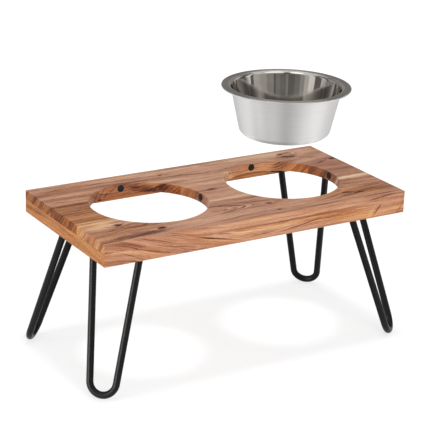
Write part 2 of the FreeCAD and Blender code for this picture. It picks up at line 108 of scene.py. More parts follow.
class Shading:
    """The nodes of one material or of the world."""

    def __init__(self, owner):
        owner.use_nodes = True
        self.tree = owner.node_tree

    def node(self, kind, settings=None, sockets=None, output=0):
        """Add a node of a kind, set it up, fill or link its sockets, hand back one output."""
        made = self.tree.nodes.new("ShaderNode" + kind)
        for key, value in (settings or {}).items():
            if key == "stops":
                set_stops(made.color_ramp, value)
            else:
                setattr(made, key, value)
        for key, value in (sockets or {}).items():
            if isinstance(value, Value):
                self.tree.links.new(value.socket, made.inputs[key])
            else:
                made.inputs[key].default_value = value
        return Value(self, made.outputs[output])

    def show(self, shader):
        """Put a shader in the place of the one that the material or the world came with."""
        surface = self.tree.get_output_node("ALL").inputs["Surface"]
        self.tree.nodes.remove(surface.links[0].from_node)
        self.tree.links.new(shader.socket, surface)

    def seen_directly(self):
        """1 for rays from the camera and for those that metal or glass sends on, else 0."""
        rays = self.node("LightPath").socket.node.outputs
        camera, glossy, passing = (
            Value(self, rays[f"Is {kind} Ray"]) for kind in ("Camera", "Glossy", "Transmission")
        )
        return camera.maths("MAXIMUM", glossy).maths("MAXIMUM", passing)

    def spot(self):
        """Where a point of the object lies, in millimetres, as a vector."""
        metres = self.node("TexCoord", output="Object")
        return self.node("VectorMath", {"operation": "SCALE"}, {0: metres, "Scale": 1 / MM})

    def place(self):
        """Where a point of the object lies, in millimetres, as x, y and z."""
        return self.split(self.spot())

    def facing(self):
        """How squarely a point of the surface faces along x, y and z."""
        return self.split(self.node("TexCoord", output="Normal"))

    def split(self, vector):
        """The x, y and z of a vector."""
        axes = self.node("SeparateXYZ", None, {0: vector})
        outputs = axes.socket.node.outputs
        return tuple(Value(self, outputs[number]) for number in range(3))

    def join(self, x, y, z):
        """A vector of three values."""
        return self.node("CombineXYZ", None, {0: x, 1: y, 2: z})

    def noise(self, vector, detail=2.0, rough=0.5, scale=1.0):
        """Cloudy noise round 0.5, with about one blot to each unit of the vector at a scale of 1."""
        sockets = {"Vector": vector, "Scale": scale, "Detail": detail, "Roughness": rough}
        return self.node("TexNoise", None, sockets, output="Fac")

    def rise(self, value, low, high, bottom=0.0, top=1.0):
        """From bottom to top as value goes from low to high, eased at both ends."""
        sockets = {0: value, 1: low, 2: high, 3: bottom, 4: top}
        return self.node("MapRange", {"interpolation_type": "SMOOTHSTEP"}, sockets)

    def ramp(self, value, stops):
        """The colour that a ramp of stops, each a place and a colour, has at a value."""
        return self.node("ValToRGB", {"stops": stops}, {0: value})

    def mix(self, share, first, second, kind="MIX"):
        """Blend two colours, each a link or a colour, by a share."""
        settings = {"data_type": "RGBA", "blend_type": kind}
        return self.node("Mix", settings, {0: share, 6: first, 7: second}, output=2)

    def stain(self, share, color, dye):
        """Tint a colour by a dye, a link or red, green and blue, over a share of the surface."""
        if not isinstance(dye, Value):
            dye = (*dye, 1)
        return self.mix(share, color, self.mix(1.0, color, dye, "MULTIPLY"))

    def bump(self, height, distance, strength):
        """A relief of the given height, whose distance from hollow to top is in metres."""
        sockets = {"Height": height, "Distance": distance, "Strength": strength}
        return self.node("Bump", None, sockets)


class Finish(Shading):
    """The finish of a piece: its Principled shader and whatever feeds it.

    Sockets of the shader are named with underscores for blanks.
    """

    def __init__(self, name, **constants):
        self.material = bpy.data.materials.new(name)
        super().__init__(self.material)
        self.shader = self.tree.nodes["Principled BSDF"]
        for socket, value in constants.items():
            self.shader.inputs[socket.replace("_", " ")].default_value = value

    def feed(self, **links):
        """Link values to sockets of the shader."""
        for socket, value in links.items():
            self.tree.links.new(value.socket, self.shader.inputs[socket.replace("_", " ")])


def set_stops(color_ramp, stops):
    """Give a colour ramp its stops, each a place and a colour."""
    while len(color_ramp.elements) > 1:
        color_ramp.elements.remove(color_ramp.elements[0])
    first = color_ramp.elements[0]
    first.position, first.color = stops[0]
    for position, color in stops[1:]:
        color_ramp.elements.new(position).color = color


def paint(red, green, blue):
    """A colour as a paint chart gives it, 0 to 255, in the shader's linear scale."""
    def linear(level):
        """One level of 255 as a share of the full light."""
        share = level / 255
        return share / 12.92 if share <= 0.04045 else ((share + 0.055) / 1.055) ** 2.4
    return (linear(red), linear(green), linear(blue), 1.0)


# Wood

GRAIN_COLOURS = [
    (0.0, paint(60, 35, 30)),
    (0.14, paint(98, 58, 44)),
    (0.3, paint(146, 95, 70)),
    (0.46, paint(178, 125, 97)),
    (0.62, paint(199, 150, 119)),
    (0.8, paint(218, 177, 138)),
    (1.0, paint(232, 199, 154)),
]
GOLDEN = (0.98, 0.83, 0.56)
# A cool tint for the face that looks up: painted sheen of the sky's light on it
PAINTED_TOP_SHEEN = (0.91, 1.0, 1.1)
GOLDEN_END = (1.0, 0.8, 0.42)
# Colours for the bore walls: the first two darken them, partly a stain and partly painted shade; the last is
# a paler stain
BORE_STAIN_AND_SHADE = (0.84, 0.66, 0.48)
BRIDGE_STAIN_AND_SHADE = (0.87, 0.73, 0.58)
PALE_STAIN = (1.11, 1.0, 0.78)
# How far a knot bends the grain and darkens it, along and across, in sizes of the knot
KNOT_BEND = (2.4, 1.3)
KNOT_DARK = (2.6, 1.5)


def bell(along, across, spot):
    """A smooth hill, 1 high, round a spot: (along, across, length, width)."""
    middle_along, middle_across, length, width = spot
    u = (along - middle_along) / length
    v = (across - middle_across) / width
    return (-(u * u + v * v)).maths("EXPONENT")


def streak(finish, along, across, fray, spot):
    """The share, 0 to 1, of a frayed streak: (along, across, length, width, degrees)."""
    middle_along, middle_across, length, width, degrees = spot
    cosine, sine = math.cos(math.radians(degrees)), math.sin(math.radians(degrees))
    east, north = along - middle_along, across - middle_across
    u = (east * cosine + north * sine) * (2 / length)
    v = (north * cosine - east * sine) * (2 / width)
    return finish.rise((u * u + v * v) ** 0.5 + fray, 0.35, 1.15, 1.0, 0.0)


def wood(
    name, grain, face, seed, tone=0.5, warmth=0.5, spacing=4.6, lean=0.6, pith=None, swirls=(),
    eyes=(), knots=(), marks=(), hues=(), side_lean=0.0, side_swirls=(), side_marks=(), end_tone=0.0,
    end_tint=(1.0, 0.88, 0.7), contrast=1.0, tint=None, bore_stains_and_shade=None,
):
    """Oiled acacia with its grain along one axis, all places and lengths in millimetres.

    grain names the axes along the grain, across the face and into the board, and
    face is where the face lies on the last of them. tone goes from 0, dark
    heartwood, to 1, sapwood. The rings lie spacing apart and lean sideways by lean
    on their way into the board. pith is the place across the face, the height and
    the slope of the rings' middle. swirls bend the grain, eyes close rings round a
    spot, knots bend and darken them, marks change the tone and hues turn it from
    pink to gold; side_lean, side_swirls and side_marks do so where the board shows
    its thickness along the grain. contrast strengthens or weakens the figure, and
    tint colours the whole board. end_tone and end_tint stain the sawn ends, and
    bore_stains_and_shade stain the walls of the left and the right bore, partly
    with painted shade. A swirl, an eye and a hue are the spot of a bell with a push,
    a mark is the spot of a streak with a change of tone, and a knot is its place,
    its size and how dark it is.
    """
    finish = Finish(name, Specular_IOR_Level=0.07, Coat_Roughness=0.5)
    oil_on_top, oil_in_bore = 0.26, 0.26
    axes = dict(zip("xyz", finish.place()))
    along, across, deep = (axes[axis] for axis in grain)
    facing = dict(zip("xyz", finish.facing()))
    end = finish.rise(abs(facing[grain[0]]), 0.4, 0.95)
    side = finish.rise(abs(facing[grain[1]]), 0.45, 0.8)
    depth = deep - face

    # The growth rings wander, swirl, and part round each knot
    wander = finish.noise(finish.join(along / 120 + seed, across / 40, depth / 40))
    waver = finish.noise(finish.join(along / 17 + seed, across / 9, depth / 9))
    tilted = across + depth * (side * side_lean + lean)
    line = tilted + (wander - 0.5) * 16 + (waver - 0.5) * 2.4
    for *spot, push in swirls:
        line = line + bell(along, across, spot) * push
    for *spot, push in side_swirls:
        line = line + bell(along, deep, spot) * side * push
    for middle_along, middle_across, size, _ in knots:
        reach = (size * KNOT_BEND[0], size * KNOT_BEND[1])
        hill = bell(along, across, (middle_along, middle_across, *reach))
        line = line - hill * (across - middle_across) * 0.85

    # Across the board the rings lie side by side, or close round the pith and the eyes
    ring = line
    if pith:
        offset = line - pith[0]
        ring = (offset * offset + pith[1] ** 2) ** 0.5 + along * pith[2]
    strength = finish.rise(finish.noise(finish.join(along / 60, ring / 12, seed * 3)), 0.4, 0.68)
    for *spot, push in eyes:
        hill = bell(along, across, spot)
        ring = ring + hill * push
        strength = strength + hill * 0.8

    # Broad bands follow the rings, fine lines lie within them, and fibres run along the grain
    broad = finish.noise(finish.join(along / 240 + seed, ring / (spacing * 2), across / 50))
    fine_grain = finish.join(along / 90 + seed, ring / (spacing * 0.4), depth / 20)
    fine = finish.noise(fine_grain, detail=4.0, rough=0.62)
    fibre = finish.noise(finish.join(along / 8, line / 0.5, depth / 0.9 + seed), rough=0.7)

    # Late wood: each ring darkens towards its outer edge, more in some places than in others
    ripple = finish.noise(finish.join(along / 75 + seed, ring / 26, depth / 60))
    age = ring / spacing + ripple * 5 + seed
    late = finish.rise(age.maths("FRACT"), 0.35, 0.98)
    early = finish.rise((age * 2.7).maths("FRACT"), 0.55, 0.95)

    # Marks and knots are streaks with torn edges, and the pores are short dark dashes
    torn = finish.join(along / 22, line / 2.6, depth / 9 + seed)
    fray = (finish.noise(torn, detail=4.0, rough=0.68) - 0.5) * 1.8
    figure = (broad - 0.5) * 0.8 + (fine - 0.5) * 0.85 - late * strength * 0.24 - early * 0.06
    shade = figure * (1 + end * 0.25) * contrast + tone
    for *spot, change in marks:
        shade = shade + streak(finish, along, tilted, fray, spot) * change
    for *spot, change in side_marks:
        shade = shade + streak(finish, along, deep, fray, spot) * side * change
    for middle_along, middle_across, size, dark in knots:
        reach = (size * KNOT_DARK[0], size * KNOT_DARK[1])
        spot = (middle_along, middle_across, *reach, 0)
        shade = shade - streak(finish, along, across, fray, spot) * dark
    pores = finish.noise(finish.join(along / 2.6, line / 0.4, depth / 0.5 + seed), detail=1.0)
    pores = finish.rise(pores, 0.6, 0.72)
    shade = shade + (fibre - 0.5) * 0.5 - pores * 0.18 - end * (fine * 0.08 + end_tone)

    # The shade gives the colour, which turns from pink to gold in places and on the sawn ends
    color = finish.ramp(shade, GRAIN_COLOURS)
    blush = finish.noise(finish.join(along / 140, line / 22, seed))
    for *spot, change in hues:
        blush = blush + bell(along, across, spot) * change
    blush = finish.rise(blush + (warmth - 0.5), 0.3, 0.7)
    color = finish.stain(blush, color, GOLDEN)
    color = finish.stain(end, color, end_tint)

    # The face that looks up gets a painted sheen, a cool tint for the sky's light on it, and took more of
    # the oil
    top = finish.rise(facing["z"], 0.4, 0.9)
    color = finish.stain(top, color, PAINTED_TOP_SHEEN)
    oil = top * oil_on_top
    if tint:
        color = finish.stain(1.0, color, tint)
    rough = 0.42 + fine * 0.14 + pores * 0.12

    # The walls of the bores are stained and oiled too; their stain also holds painted shade that darkens
    # them
    if bore_stains_and_shade:
        away = abs(axes["x"]) - BORE_MIDDLE
        radius = (away * away + axes["y"] * axes["y"]) ** 0.5
        near = finish.rise(radius, BORE_RADIUS + 0.4, BORE_RADIUS + 1.2, 1.0, 0.0)
        wall = near * finish.rise(abs(facing["z"]), 0.3, 0.8, 1.0, 0.0)
        left, right = ((*dye, 1) for dye in bore_stains_and_shade)
        color = finish.stain(wall, color, finish.mix(finish.rise(axes["x"], -10, 10), left, right))
        rough = rough - wall * 0.14
        oil = oil + wall * oil_in_bore
    finish.feed(
        Base_Color=color,
        Roughness=rough,
        Coat_Weight=oil,
        Normal=finish.bump(fibre - pores * 0.8, 0.2 * MM, 0.35),
    )
    return finish.material


def dress_tray():
    """Give each stave and apron its own board's figure."""
    figures = {
        "front_stave": dict(
            grain="xyz", face=TRAY_TOP, seed=3.1, tone=0.5, warmth=0.3, pith=(-67, 9, 0.06),
            swirls=[(95, -92, 60, 12, 8)], eyes=[(-26, -67, 26, 9, -6)],
            hues=[(-190, -60, 60, 40, 0.12), (170, -80, 60, 40, 0.3), (0, -70, 80, 40, -0.1)],
            knots=[
                (-176, -57, 6, 0.6), (-132, -90, 5.5, 0.75), (33, -71, 4, 0.35), (33, -97, 3, 0.4),
                (-14, -69, 3, 0.2),
            ],
            marks=[
                (-196, -57, 64, 24, 8, 0.28), (-198, -42, 100, 8, 0, 0.42), (-150, -72, 90, 10, -8, -0.1),
                (-166, -98, 100, 18, 2, -0.24), (-205, -107, 50, 4, 0, -0.3),
                (-172, -58, 26, 2.4, 32, -0.42), (-188, -60, 22, 2, -24, -0.38),
                (-178, -49, 20, 2, 10, -0.3), (-190, -72, 26, 3, 12, -0.2),
                (40, -92, 130, 14, 0, 0.1), (-60, -88, 120, 18, 0, 0.08),
                (148, -80, 22, 5, -10, -0.34), (164, -86, 20, 5, 8, -0.34), (142, -90, 34, 3, 4, -0.2),
                (152, -61, 24, 3, -14, -0.28), (186, -104, 60, 3, 2, -0.25), (205, -80, 60, 50, 0, -0.06),
                (70, -103, 90, 3, -3, -0.2), (-15, -59, 50, 4, -21, -0.36),
                (-20, -74, 60, 4, 13, -0.34), (-34, -66, 44, 6, 0, 0.08), (-12, -66, 16, 3, 0, -0.16),
            ],
            side_lean=1.9, side_swirls=[(-240, 196, 110, 60, -120), (230, 198, 90, 60, 12)],
            side_marks=[
                (0, 198, 260, 12, 0, 0.17), (-190, 198, 70, 12, -22, -0.06),
                (-184, 198, 56, 1.8, -20, -0.14), (-150, 197, 70, 1.6, -15, -0.17),
                (-100, 196, 90, 1.5, -8, -0.14), (20, 192.8, 190, 1.6, 0, -0.11),
                (186, 202, 50, 2.4, 6, -0.26), (150, 196, 70, 1.5, 4, -0.16), (160, 197, 140, 16, 0, 0.05),
            ],
            end_tone=-0.17, contrast=0.85,
        ),
        "back_stave": dict(
            grain="xyz", face=TRAY_TOP, seed=11.7, tone=0.5, warmth=0.2, lean=0.9,
            swirls=[(160, 76, 26, 14, 16), (198, 66, 30, 12, -8), (20, 62, 70, 12, 8)],
            hues=[(-190, 70, 70, 50, 0.3), (0, 99, 90, 12, 0.2), (190, 90, 60, 30, -0.4)],
            eyes=[(212, 46, 22, 8, -10), (160, 80, 24, 12, 10), (-36, 87, 12, 5, 5)],
            knots=[(158, 93, 5, 0.34), (-36, 87, 3, 0.35), (213, 46, 4.5, 0.6)],
            marks=[
                (-60, 97, 250, 13, -1, 0.2), (20, 100, 110, 12, 0, 0.18), (140, 99, 150, 14, 0, 0.14),
                (-190, 84, 90, 16, 0, -0.08), (-80, 78, 110, 6, 0, -0.16),
                (168, 96, 36, 8, 8, -0.26), (162, 80, 40, 8, -12, -0.24), (186, 68, 40, 2.5, -26, -0.26),
                (0, 73, 200, 14, 0, -0.04), (8, 50, 80, 18, 0, 0.1), (208, 60, 50, 50, 0, -0.06),
                (130, 96, 190, 26, 0, 0.14), (146, 60, 40, 26, 0, -0.12), (60, 52, 44, 22, 0, 0.16),
                (-120, 60, 110, 40, 0, -0.06),
            ],
            side_marks=[
                (-72, 196, 36, 16, -8, -0.3), (-46, 197, 24, 14, 10, -0.28), (-86, 199, 30, 6, 0, -0.15),
                (-142, 198, 16, 2.2, 45, -0.35), (-132, 198, 18, 2, 40, -0.35), (-122, 196, 16, 2, 40, -0.3),
                (-112, 199, 18, 2, 30, -0.25), (44, 198, 18, 2.4, 50, -0.35), (54, 197, 18, 2, 45, -0.3),
                (70, 198, 40, 2.4, -8, -0.28), (96, 196, 60, 2.4, 5, -0.2), (120, 198, 30, 10, 0, 0.12),
            ],
            end_tone=0.05, end_tint=GOLDEN_END, contrast=0.9,
            bore_stains_and_shade=(BORE_STAIN_AND_SHADE, PALE_STAIN),
        ),
        "middle_stave_bridge": dict(
            grain="xyz", face=TRAY_TOP, seed=7.9, tone=0.55, warmth=0.08,
            knots=[(-4, 8, 6, 0.25)], swirls=[(4, 30, 40, 12, 8), (0, -20, 50, 10, 6)],
            marks=[(0, -31, 130, 9, 0, 0.2), (0, 7, 90, 5, 3, -0.16), (6, 24, 60, 3, -8, -0.1)],
            contrast=0.72, bore_stains_and_shade=(BORE_STAIN_AND_SHADE, BRIDGE_STAIN_AND_SHADE),
        ),
        "middle_stave_left_end": dict(
            grain="xyz", face=TRAY_TOP, seed=5.3, tone=0.46, warmth=0.75, lean=0.8, contrast=0.9,
            marks=[(-196, 31, 80, 4, 0, -0.36), (-198, 4, 60, 3, 1, -0.15), (-206, -34, 60, 4, 0, 0.3)],
            end_tone=0.05, end_tint=GOLDEN_END,
        ),
        "middle_stave_right_end": dict(
            grain="xyz", face=TRAY_TOP, seed=9.2, tone=0.42, warmth=0.1, lean=0.8, contrast=0.5,
            marks=[(198, -29, 110, 14, 0, 0.5), (200, 5, 80, 20, 0, -0.05), (205, 20, 50, 3, -12, -0.15)],
            end_tone=0.05, bore_stains_and_shade=(BORE_STAIN_AND_SHADE, BRIDGE_STAIN_AND_SHADE),
        ),
        "front_apron": dict(
            grain="xzy", face=TRAY_FRONT, seed=1.9, tone=0.58, warmth=0.47, spacing=2.8,
            swirls=[(-240, 184, 110, 60, -36), (-10, 192, 60, 14, 9)],
            marks=[
                (-62, 184.8, 64, 2.2, -12, -0.5), (-4, 180.6, 56, 1.8, 2, -0.36),
                (58, 183.6, 66, 1.8, 8, -0.4), (0, 187.2, 130, 6, 0, 0.2),
                (176, 184, 24, 2.2, 50, -0.38), (168, 184, 26, 5, 50, 0.12),
                (214, 183, 20, 2.4, 48, -0.25), (160, 183, 150, 22, 0, 0.05),
                (-152, 184, 90, 1.8, -15, -0.28), (-178, 181, 60, 1.6, -22, -0.28),
                (-126, 186, 60, 1.5, -12, -0.2), (120, 188, 120, 1.6, 2, -0.15),
            ],
        ),
        "back_apron": dict(
            grain="xzy", face=TRAY_BACK, seed=6.1, tone=0.44, warmth=0.8, spacing=3,
            knots=[(-120, 178.5, 1.8, 0.8)], swirls=[(60, 186, 70, 8, 6)],
        ),
        "left_apron": dict(
            grain="yzx", face=TRAY_LEFT, seed=4.4, tone=0.58, warmth=1.0, spacing=2.6, contrast=1.05,
            tint=(1.08, 1.0, 0.83),
        ),
        "right_apron": dict(
            grain="yzx", face=TRAY_RIGHT, seed=8.6, tone=0.54, spacing=2.8, swirls=[(20, 184, 50, 7, 6)],
        ),
    }
    for node, figure in figures.items():
        finish_node(node, wood(node + "_acacia", **figure))
        # The steel shows the white studio, as it does in a picture of the bowl by itself
        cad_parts[node].visible_glossy = False


def finish_node(node, material):
    """Put a material on a CAD node, whose mesh stays as it is."""
    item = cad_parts[node]
    item.data.materials.clear()
    item.data.materials.append(material)


# Other finishes

def powder_coat():
    """Black powder coat with a slight orange peel."""
    finish = Finish("black_powder_coat", Specular_IOR_Level=0.18)
    spot = finish.spot()
    peel = finish.noise(spot, scale=0.9)
    grit = finish.noise(spot, scale=5.0)
    color = finish.mix(finish.rise(peel, 0.3, 0.7), paint(9, 9, 9), paint(14, 13, 13))
    finish.feed(
        Base_Color=color,
        Roughness=0.38 + peel * 0.1,
        Normal=finish.bump(peel * 0.6 + grit * 0.4, 0.3 * MM, 0.3),
    )
    return finish.material


def rubber():
    """Dull moulded rubber with a faint mottle."""
    finish = Finish("moulded_black_rubber", Specular_IOR_Level=0.3)
    mottle = finish.noise(finish.spot(), detail=3.0, scale=1.6)
    color = finish.mix(finish.rise(mottle, 0.3, 0.7), paint(15, 15, 16), paint(30, 30, 31))
    finish.feed(
        Base_Color=color,
        Roughness=0.55 + mottle * 0.2,
        Normal=finish.bump(mottle, 0.2 * MM, 0.3),
    )
    return finish.material


def blackened_zinc():
    """The hazy black plating of the wood screws."""
    finish = Finish("blackened_zinc", Metallic=0.8)
    haze = finish.noise(finish.spot(), detail=3.0, scale=1.4)
    color = finish.mix(haze, paint(38, 38, 40), paint(70, 70, 72))
    finish.feed(Base_Color=color, Roughness=0.3 + haze * 0.2)
    return finish.material


def spun_steel(middle, rim_height, height, mouth_radius):
    """Bowl steel: brushed in rings outside and on the flange, polished inside; the flange's colour holds
    painted shade.
    """
    finish = Finish("spun_steel", Metallic=1.0, Anisotropic=0.9, Anisotropic_Rotation=0.25)
    spot = finish.spot()
    x, y, z = finish.split(spot)
    east, north = x - middle.x / MM, y - middle.y / MM
    radius = (east * east + north * north) ** 0.5
    up = z - rim_height / MM
    facing_x, facing_y, facing_up = finish.facing()
    outward = (facing_x * east + facing_y * north) / radius

    # A point looks inwards on the inner wall, up on the floor and up beyond the mouth on the flange
    inner_wall = finish.rise(outward, -0.6, -0.3, 1.0, 0.0)
    low = finish.rise(up, 4 - height / MM, 8 - height / MM, 1.0, 0.0)
    floor = low * finish.rise(facing_up, 0.2, 0.5)
    inside = inner_wall.maths("MAXIMUM", floor)
    flange = finish.rise(radius, mouth_radius / MM + 1.5, mouth_radius / MM + 3.5)
    flange = flange * finish.rise(facing_up, 0.3, 0.8)

    turn = finish.join(radius * 1.3, up * 1.3, 0.0)
    coarse = finish.noise(turn, detail=4.0, rough=0.6, scale=0.5)
    fine = finish.noise(turn, detail=3.0, rough=0.8, scale=3.5)
    lines = coarse * 0.3 + fine * 0.7
    cloud = finish.noise(spot, scale=0.03)
    bright = finish.mix(finish.rise(lines, 0.3, 0.7), paint(214, 213, 212), paint(228, 227, 226))
    # On the flange the steel's colour is a darker copy, painted shade for the dimmer surroundings that the
    # flange mirrors
    shaded_flange = finish.mix(finish.rise(lines, 0.3, 0.7), paint(158, 155, 151), paint(184, 181, 177))
    polished = finish.mix(finish.rise(cloud, 0.3, 0.7), paint(176, 172, 167), paint(192, 188, 183))
    color = finish.mix(flange, finish.mix(inside, bright, polished), shaded_flange)
    brushed = 0.4 + lines * 0.1
    shine = 0.05 + cloud * 0.04
    finish.feed(
        Base_Color=color,
        Roughness=brushed + (shine - brushed) * inside - flange * 0.08,
        Normal=finish.bump(lines * (1 - inside * 0.92), 0.12 * MM, 0.25),
    )
    return finish.material


# Modelling helpers

def clear_selection():
    """Deselect everything, the CAD nodes too."""
    bpy.ops.object.select_all(action="DESELECT")


def smooth(piece, angle):
    """Shade a piece smooth but for the edges that turn by more than an angle in degrees."""
    clear_selection()
    piece.select_set(True)
    bpy.context.view_layer.objects.active = piece
    bpy.ops.object.shade_smooth_by_angle(angle=math.radians(angle))


def turned(name, section, steps):
    """Spin a section, a list of (radius, height), into a round piece about the Z axis."""
    clear_selection()
    bpy.ops.mesh.primitive_plane_add(size=1)
    piece = bpy.context.object
    piece.name = piece.data.name = name
    bpy.ops.object.mode_set(mode="EDIT")
    bpy.ops.mesh.merge(type="CENTER")
    bpy.ops.transform.translate(value=(section[0][0], 0, section[0][1]))
    for (radius, height), (next_radius, next_height) in zip(section, section[1:]):
        step = {"value": (next_radius - radius, 0, next_height - height)}
        bpy.ops.mesh.extrude_vertices_move(TRANSFORM_OT_translate=step)
    bpy.ops.mesh.select_all(action="SELECT")
    bpy.ops.mesh.spin(steps=steps, angle=math.tau, center=(0, 0, 0), axis=(0, 0, 1))
    bpy.ops.mesh.select_all(action="SELECT")
    bpy.ops.mesh.remove_doubles(threshold=1e-6)
    bpy.ops.mesh.normals_make_consistent(inside=False)
    bpy.ops.object.mode_set(mode="OBJECT")
    return piece


def arc(middle_radius, middle_height, radius, start, end, steps):
    """Points of an arc in a section; 0 degrees is outwards and 90 is up."""
    turns = [math.radians(start + (end - start) * step / steps) for step in range(steps + 1)]
    return [
        (middle_radius + radius * math.cos(turn), middle_height + radius * math.sin(turn))
        for turn in turns
    ]


def settle(piece, spot=(0, 0, 0), turn=(0, 0, 0)):
    """Move and turn a piece to its place, then fold that into its mesh."""
    clear_selection()
    piece.select_set(True)
    bpy.context.view_layer.objects.active = piece
    piece.location = spot
    piece.rotation_euler = turn
    bpy.ops.object.transform_apply(location=True, rotation=True, scale=True)


def copy_of(piece, name):
    """A copy of a piece with its own mesh."""
    twin = piece.copy()
    twin.data = piece.data.copy()
    twin.name = twin.data.name = name
    bpy.context.scene.collection.objects.link(twin)
    return twin


def apply_modifier(piece, kind, **settings):
    """Set up a modifier on a piece and apply it to its mesh."""
    clear_selection()
    piece.select_set(True)
    bpy.context.view_layer.objects.active = piece
    modifier = piece.modifiers.new(kind.lower(), kind)
    for key, value in settings.items():
        setattr(modifier, key, value)
    bpy.ops.object.modifier_apply(modifier=modifier.name)


def join_pieces(pieces, name):
    """Join pieces into one."""
    clear_selection()
    for piece in pieces:
        piece.select_set(True)
    bpy.context.view_layer.objects.active = pieces[0]
    bpy.ops.object.join()
    joined = bpy.context.object
    joined.name = joined.data.name = name
    return joined


def dress(piece, material, body, slot, *nodes):
    """Give a piece its material, the body it rides on and the nodes it stands for; slot is not used."""
    piece.data.materials.clear()
    piece.data.materials.append(material)
    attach(piece, body)
    if nodes:
        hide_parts(*nodes)


# Bowl

def make_bowl():
    """The spun bowl: drafted wall, round foot, flange with a curled edge, all of one sheet."""
    low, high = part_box("bowl")
    middle = (low + high) / 2
    rim_radius = (high.x - low.x) / 2
    sheet = 0.8 * MM
    mouth_radius = 72.8 * MM
    base_radius = 58.2 * MM
    height = high.z - low.z
    corner = 11 * MM
    shoulder = 4.5 * MM
    bead = 1.4 * MM
    # The middle of the base is pressed up, so that the bowl stands on a ring
    pressed_up = 0.5 * MM
    pressed_radius = 32 * MM
    ring_radius = 35 * MM

    # Outer face of the sheet, from the middle of the base to the inside of the curled edge
    draft = math.atan2(mouth_radius - base_radius, height - sheet)
    # An arc's middle lies this share of its radius to the side of the corner that it rounds
    setback_share = math.tan((math.pi / 2 - draft) / 2)
    foot_radius = base_radius - corner * setback_share
    ledge_radius = mouth_radius + shoulder * setback_share
    draft_degrees = math.degrees(draft)
    section = [(0, pressed_up - height), (pressed_radius, pressed_up - height), (ring_radius, -height)]
    section += arc(foot_radius, corner - height, corner, -90, -draft_degrees, steps=14)
    section += arc(ledge_radius, -sheet - shoulder, shoulder, 180 - draft_degrees, 90, steps=10)
    section += arc(rim_radius - bead, -bead, bead - sheet, 90, -200, steps=20)
    bowl = turned("spun_steel_bowl", section, steps=180)
    apply_modifier(bowl, "SOLIDIFY", thickness=sheet, offset=-1.0, use_even_offset=True)
    settle(bowl, (middle.x, middle.y, high.z))
    smooth(bowl, angle=50)
    steel = spun_steel(middle, high.z, height, mouth_radius)
    dress(bowl, steel, "bowl", "bowl_steel", "bowl")


# Bumpers

def make_bumpers():
    """Push-in rubber plugs with a ring groove and a small dimple in the head."""
    low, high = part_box("left_cutout_right_bumper")
    head_radius = (high.z - low.z) / 2
    reach = high.x - low.x
    proud = 1.8 * MM
    skirt = 0.6 * MM
    stem_radius = 2.5 * MM
    stem = reach - proud
    stem_taper = 1.2 * MM
    soft_edge = 0.25 * MM
    dome = skirt + (proud - skirt) * 0.62
    groove_lip = dome + 0.22 * MM
    groove_floor = dome - 0.05 * MM
    dimple = 0.24 * MM
    # From the stem's tip to the middle of the head, along the plug's own axis
    section = [
        (0, -stem),
        (stem_radius * 0.7, -stem),
        (stem_radius, stem_taper - stem),
        (stem_radius, 0),
        (head_radius - soft_edge, 0),
        (head_radius, soft_edge),
        (head_radius, skirt),
        (head_radius * 0.93, skirt + 0.3 * MM),
        (head_radius * 0.76, dome),
        (head_radius * 0.62, groove_lip),
        (head_radius * 0.56, groove_lip),
        (head_radius * 0.52, groove_floor),
        (head_radius * 0.46, groove_floor),
        (head_radius * 0.42, groove_lip + 0.06 * MM),
        (head_radius * 0.26, proud - 0.04 * MM),
        (head_radius * 0.14, proud - 0.06 * MM),
        (head_radius * 0.09, proud - 0.22 * MM),
        (0, proud - dimple),
    ]
    pattern = turned("rubber_bumper", section, steps=48)
    smooth(pattern, angle=35)
    material = rubber()
    quarters = {"right": 0, "back": 1, "left": 2, "front": 3}
    for side in ("left", "right"):
        for where, quarter in quarters.items():
            node = f"{side}_cutout_{where}_bumper"
            low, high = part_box(node)
            turn = quarter * math.pi / 2
            outward = Vector((round(math.cos(turn)), round(math.sin(turn)), 0))
            # The head's underside lies a stem's length inwards from the stem's tip
            seat = (low + high) / 2
            for axis in range(2):
                if outward[axis]:
                    tip = high[axis] if outward[axis] > 0 else low[axis]
                    seat[axis] = tip - outward[axis] * stem
            bumper = copy_of(pattern, f"{side}_cutout_{where}_rubber_bumper")
            settle(bumper, seat, Euler((0, -math.pi / 2, turn)))
            dress(bumper, material, "stand", "bumper_rubber", node)
    bpy.data.objects.remove(pattern)


# Legs

def pad_places(corner):
    """For each mounting pad of a leg: its middle, the way along the leg's plane and the way outwards."""
    side_x, side_y = CORNERS[corner]
    low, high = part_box(corner + "_leg_pads")
    far = Vector((max(abs(low.x), abs(high.x)), max(abs(low.y), abs(high.y))))
    near = Vector((min(abs(low.x), abs(high.x)), min(abs(low.y), abs(high.y))))
    for x, y, way in (
        (far.x - PAD_RADIUS, near.y + PAD_RADIUS, 1),
        (near.x + PAD_RADIUS, far.y - PAD_RADIUS, -1),
    ):
        yield (
            Vector((x * side_x, y * side_y, low.z)),
            Vector((way * side_x, -way * side_y, 0)).normalized(),
            Vector((side_x, side_y, 0)).normalized(),
        )


